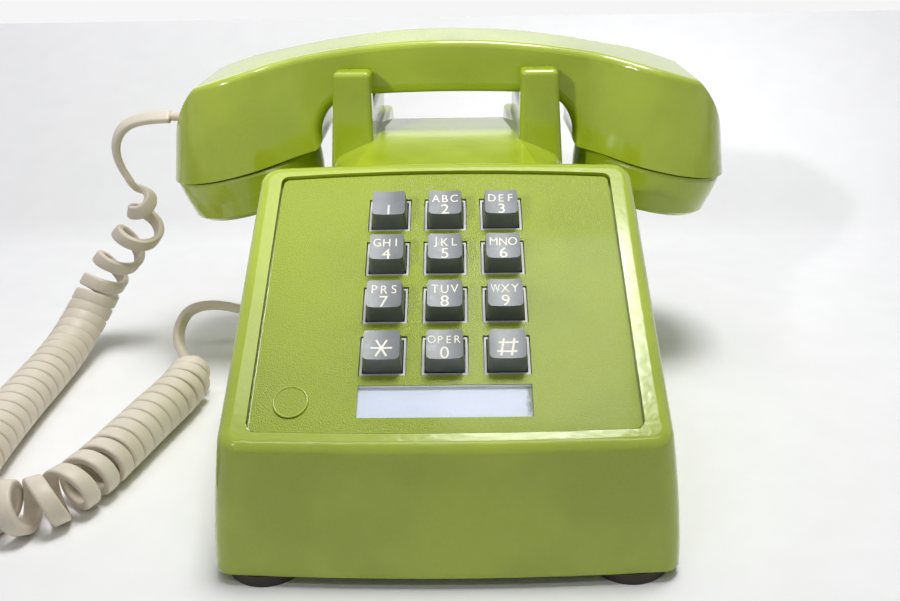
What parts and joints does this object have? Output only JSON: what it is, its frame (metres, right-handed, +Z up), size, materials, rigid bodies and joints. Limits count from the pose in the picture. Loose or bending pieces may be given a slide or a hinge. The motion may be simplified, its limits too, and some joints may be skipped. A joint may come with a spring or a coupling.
{
  "type": "corded desk telephone",
  "caption": "Corded push-button desk telephone: wedge housing with a sloped keypad face, cradle posts, an arched handset across the back and a curly handset cord",
  "frame": {"origin": "on the table under the middle of the telephone, the free cord left out", "axes": "+X to the right as seen from the front, +Y to the back, +Z up; the keys face the front, -Y"},
  "size_m": [0.2967, 0.216, 0.14],
  "materials": {
    "shell_paint": "lime-green gloss over moulded plastic",
    "key_plastic": "dark grey satin",
    "collar_plastic": "light grey satin",
    "paper": "white card",
    "clear_plastic": "clear moulded plastic",
    "circuit_board": "green laminate",
    "black_plastic": "black moulded plastic",
    "plated_steel": "zinc-plated pressed steel",
    "brass": "plain brass",
    "winding": "taped copper winding",
    "foot_rubber": "dark brown rubber",
    "jack_plastic": "grey moulded plastic",
    "capsule_metal": "pressed aluminium can",
    "cord_jacket": "beige flexible jacket"
  },
  "bodies": {
    "base": {"housing": "shell_paint", "faceplate": "shell_paint", "keypad_frame": "collar_plastic", "number_card": "paper", "card_window": "clear_plastic", "base_plug": "clear_plastic", "keypad_board": "circuit_board", "tone_coils": "black_plastic", "network_block": "black_plastic", "contact_pile": "black_plastic", "keypad_brackets": "plated_steel", "base_pan": "plated_steel", "housing_screws": "plated_steel", "ringer_frame": "plated_steel", "ringer_core": "plated_steel", "gong_posts": "plated_steel", "hook_bracket": "plated_steel", "hook_pin": "plated_steel", "network_terminals": "brass", "gong_left": "brass", "gong_right": "brass", "ringer_coil": "winding", "rubber_feet": "foot_rubber", "line_jack": "jack_plastic", "handset_jack": "jack_plastic", "handset_cord": "cord_jacket"},
    "handset": {"handset_handle": "shell_paint", "receiver_cap": "shell_paint", "transmitter_cap": "shell_paint", "receiver_unit": "capsule_metal", "transmitter_unit": "capsule_metal", "transmitter_cup": "black_plastic", "handset_end_jack": "jack_plastic", "handset_plug": "clear_plastic"},
    "plunger_left": {"plunger_left": "clear_plastic"},
    "plunger_right": {"plunger_right": "clear_plastic"},
    "hook_lever": {"hook_lever": "plated_steel"},
    "clapper": {"clapper": "plated_steel"},
    "volume_wheel": {"volume_wheel": "black_plastic"},
    "key_1": {"key_1": "key_plastic"},
    "key_2": {"key_2": "key_plastic"},
    "key_3": {"key_3": "key_plastic"},
    "key_4": {"key_4": "key_plastic"},
    "key_5": {"key_5": "key_plastic"},
    "key_6": {"key_6": "key_plastic"},
    "key_7": {"key_7": "key_plastic"},
    "key_8": {"key_8": "key_plastic"},
    "key_9": {"key_9": "key_plastic"},
    "key_star": {"key_star": "key_plastic"},
    "key_0": {"key_0": "key_plastic"},
    "key_hash": {"key_hash": "key_plastic"}
  },
  "joints": [
    {"name": "handset_lift", "type": "slide", "parent": "base", "child": "handset", "axis": [0, 0, 1], "range_m": [0, 0.11]},
    {"name": "key_1_press", "type": "slide", "parent": "base", "child": "key_1", "axis": [0, 0.4906, -0.8714], "range_m": [0, 0.003], "stiffness_N_per_m": 150, "springref_m": -0.004},
    {"name": "key_2_press", "type": "slide", "parent": "base", "child": "key_2", "axis": [0, 0.4906, -0.8714], "range_m": [0, 0.003], "stiffness_N_per_m": 150, "springref_m": -0.004},
    {"name": "key_3_press", "type": "slide", "parent": "base", "child": "key_3", "axis": [0, 0.4906, -0.8714], "range_m": [0, 0.003], "stiffness_N_per_m": 150, "springref_m": -0.004},
    {"name": "key_4_press", "type": "slide", "parent": "base", "child": "key_4", "axis": [0, 0.4906, -0.8714], "range_m": [0, 0.003], "stiffness_N_per_m": 150, "springref_m": -0.004},
    {"name": "key_5_press", "type": "slide", "parent": "base", "child": "key_5", "axis": [0, 0.4906, -0.8714], "range_m": [0, 0.003], "stiffness_N_per_m": 150, "springref_m": -0.004},
    {"name": "key_6_press", "type": "slide", "parent": "base", "child": "key_6", "axis": [0, 0.4906, -0.8714], "range_m": [0, 0.003], "stiffness_N_per_m": 150, "springref_m": -0.004},
    {"name": "key_7_press", "type": "slide", "parent": "base", "child": "key_7", "axis": [0, 0.4906, -0.8714], "range_m": [0, 0.003], "stiffness_N_per_m": 150, "springref_m": -0.004},
    {"name": "key_8_press", "type": "slide", "parent": "base", "child": "key_8", "axis": [0, 0.4906, -0.8714], "range_m": [0, 0.003], "stiffness_N_per_m": 150, "springref_m": -0.004},
    {"name": "key_9_press", "type": "slide", "parent": "base", "child": "key_9", "axis": [0, 0.4906, -0.8714], "range_m": [0, 0.003], "stiffness_N_per_m": 150, "springref_m": -0.004},
    {"name": "key_star_press", "type": "slide", "parent": "base", "child": "key_star", "axis": [0, 0.4906, -0.8714], "range_m": [0, 0.003], "stiffness_N_per_m": 150, "springref_m": -0.004},
    {"name": "key_0_press", "type": "slide", "parent": "base", "child": "key_0", "axis": [0, 0.4906, -0.8714], "range_m": [0, 0.003], "stiffness_N_per_m": 150, "springref_m": -0.004},
    {"name": "key_hash_press", "type": "slide", "parent": "base", "child": "key_hash", "axis": [0, 0.4906, -0.8714], "range_m": [0, 0.003], "stiffness_N_per_m": 150, "springref_m": -0.004},
    {"name": "plunger_left_rise", "type": "slide", "parent": "base", "child": "plunger_left", "axis": [0, 0, 1], "range_m": [0, 0.0062]},
    {"name": "plunger_right_rise", "type": "slide", "parent": "base", "child": "plunger_right", "axis": [0, 0, 1], "range_m": [0, 0.0062]},
    {"name": "hook_lever_turn", "type": "hinge", "parent": "base", "child": "hook_lever", "pos_m": [0, 0.017, 0.082], "axis": [1, 0, 0], "range_deg": [0, 9.4]},
    {"name": "clapper_swing", "type": "hinge", "parent": "base", "child": "clapper", "pos_m": [0, 0.047, 0.029], "axis": [0, 0, 1], "range_deg": [-5, 5]},
    {"name": "volume_wheel_turn", "type": "hinge", "parent": "base", "child": "volume_wheel", "pos_m": [0.047, 0.022, 0.0134], "axis": [1, 0, 0], "range_deg": [-70, 70]}
  ],
  "couplings": [
    {"joint": "plunger_left_rise", "follows": "handset_lift", "ratio": 0.054545},
    {"joint": "plunger_right_rise", "follows": "handset_lift", "ratio": 0.054545},
    {"joint": "hook_lever_turn", "follows": "handset_lift", "rad_per_m": 1.4318}
  ]
}
